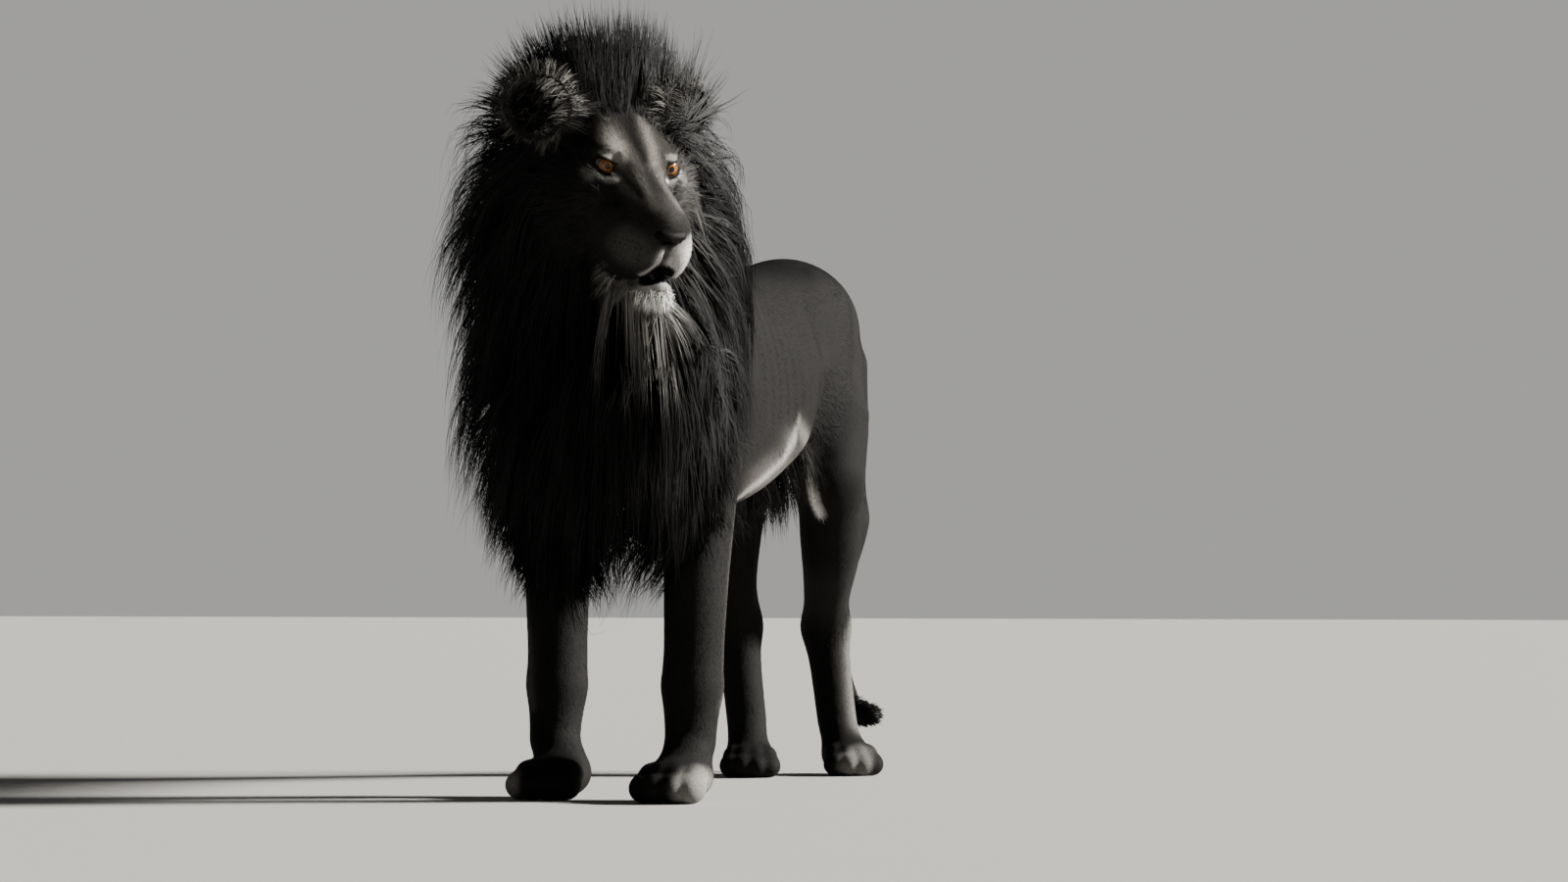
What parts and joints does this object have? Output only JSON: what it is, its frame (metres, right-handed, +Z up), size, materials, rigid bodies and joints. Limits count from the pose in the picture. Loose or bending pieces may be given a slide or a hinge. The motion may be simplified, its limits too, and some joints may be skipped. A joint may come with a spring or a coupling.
{
  "type": "adult male lion",
  "caption": "Life-size still model of a standing adult male lion with a full black mane and a dark coat, its head turned to its left.",
  "frame": {"origin": "on the floor, under the middle of the bounding box", "axes": "+Z up, -Y the way the body faces, +X towards the lion's left side"},
  "size_m": [0.5617, 1.6547, 1.426],
  "materials": {
    "dark_coat": "short charcoal fur, paler grey where the light rubs it, white on the lip and chin",
    "mane_hair": "long black hair with a soft sheen, grey under the chin",
    "nose_leather": "moist dark nose leather",
    "amber_eye": "wet amber eye with a round black pupil"
  },
  "bodies": {
    "root": {"belly_fringe": "mane_hair", "ear_left": "dark_coat", "ear_right": "dark_coat", "eye_left": "amber_eye", "eye_right": "amber_eye", "forearm_left": "dark_coat", "forearm_right": "dark_coat", "forepaw_left": "dark_coat", "forepaw_right": "dark_coat", "head": "dark_coat", "hind_foot_left": "dark_coat", "hind_foot_right": "dark_coat", "hindpaw_left": "dark_coat", "hindpaw_right": "dark_coat", "jaw": "dark_coat", "mane_chest": "mane_hair", "mane_crown": "mane_hair", "neck_mane_left": "mane_hair", "neck_mane_right": "mane_hair", "nose": "nose_leather", "shank_left": "dark_coat", "shank_right": "dark_coat", "tail_lower": "dark_coat", "tail_tuft": "mane_hair", "tail_upper": "dark_coat", "thigh_left": "dark_coat", "thigh_right": "dark_coat", "trunk_belly": "dark_coat", "trunk_chest": "dark_coat", "trunk_hips": "dark_coat", "upper_arm_left": "dark_coat", "upper_arm_right": "dark_coat"}
  },
  "joints": []
}
